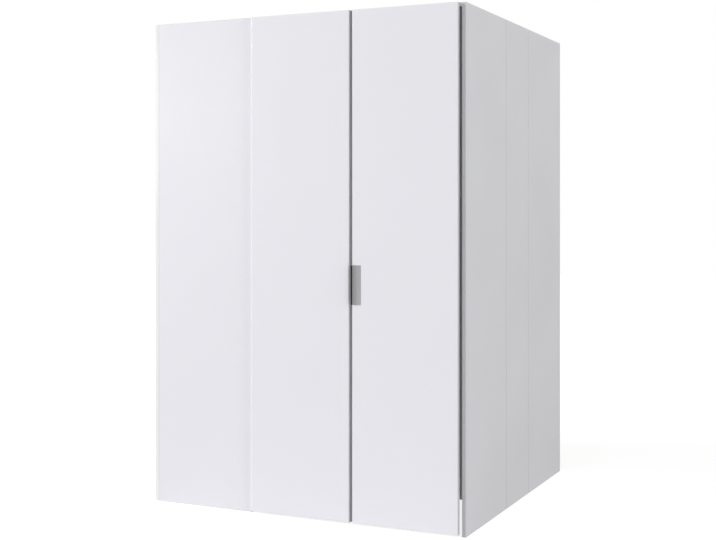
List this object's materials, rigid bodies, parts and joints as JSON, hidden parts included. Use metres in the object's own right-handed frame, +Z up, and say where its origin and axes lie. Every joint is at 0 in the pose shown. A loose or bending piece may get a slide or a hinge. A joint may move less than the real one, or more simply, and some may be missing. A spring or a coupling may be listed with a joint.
{
  "type": "corner wardrobe",
  "caption": "Walk-in corner wardrobe with a fixed front panel, two hinged doors, a plate handle and an open floor; hat shelves, clothes rails and a shelf bay inside.",
  "frame": {"origin": "on the floor, at the middle of the overall box in X and Y", "axes": "+Z up; -Y towards the front, where the fixed panel and the doors are; +X towards the right-hand side boards, seen from the front"},
  "size_m": [1.634, 1.5536, 2.36],
  "materials": {
    "white_board": "alpine white laminate, satin",
    "back_board": "white laminate, matt",
    "white_plastic": "matt white",
    "hinge_nickel": "nickel-plated, satin",
    "handle_nickel": "brushed, satin",
    "screw_steel": "zinc-plated",
    "chrome": "polished",
    "black_plastic": "satin black"
  },
  "bodies": {
    "carcass": {"side_board_front_left": "white_board", "side_board_middle_left": "white_board", "side_board_rear_left": "white_board", "side_board_front_right": "white_board", "side_board_middle_right": "white_board", "side_board_rear_right": "white_board", "top_board_front": "white_board", "top_board_middle": "white_board", "top_board_rear": "white_board", "fixed_front_panel": "white_board", "hinge_post": "white_board", "hinge_strip_left": "white_board", "hinge_strip_right": "white_board", "base_rail_front": "white_board", "base_rail_rear": "white_board", "back_panel_left": "back_board", "back_panel_middle": "back_board", "back_panel_right": "back_board", "back_joining_profile_1": "white_plastic", "back_joining_profile_2": "white_plastic", "partition": "white_board", "bay_shelf_1": "white_board", "bay_shelf_2": "white_board", "bay_shelf_3": "white_board", "bay_shelf_4": "white_board", "bay_shelf_5": "white_board", "hat_shelf_rear": "white_board", "hat_shelf_left": "white_board", "rear_rail": "chrome", "rear_rail_socket_left": "chrome", "rear_rail_socket_right": "chrome", "left_rail": "chrome", "left_rail_hanger_front": "chrome", "left_rail_hanger_rear": "chrome", "support_tube": "chrome", "hinge_arm_left_1": "hinge_nickel", "hinge_arm_left_2": "hinge_nickel", "hinge_arm_left_3": "hinge_nickel", "hinge_arm_left_4": "hinge_nickel", "hinge_arm_right_1": "hinge_nickel", "hinge_arm_right_2": "hinge_nickel", "hinge_arm_right_3": "hinge_nickel", "hinge_arm_right_4": "hinge_nickel"},
    "left_door": {"door_left": "white_board", "door_gap_strip": "white_board", "hinge_cup_left_1": "hinge_nickel", "hinge_cup_left_2": "hinge_nickel", "hinge_cup_left_3": "hinge_nickel", "hinge_cup_left_4": "hinge_nickel"},
    "right_door": {"door_right": "white_board", "hinge_cup_right_1": "hinge_nickel", "hinge_cup_right_2": "hinge_nickel", "hinge_cup_right_3": "hinge_nickel", "hinge_cup_right_4": "hinge_nickel", "handle_plate": "handle_nickel", "handle_grip_bead": "black_plastic", "handle_screw_lower": "screw_steel", "handle_screw_upper": "screw_steel"}
  },
  "joints": [
    {"name": "left_door_hinge", "type": "hinge", "parent": "carcass", "child": "left_door", "pos_m": [-0.261, -0.73573, 0], "axis": [0, 0, -1], "range_deg": [0, 95]},
    {"name": "right_door_hinge", "type": "hinge", "parent": "carcass", "child": "right_door", "pos_m": [0.793, -0.73573, 0], "axis": [0, 0, 1], "range_deg": [0, 95]}
  ]
}
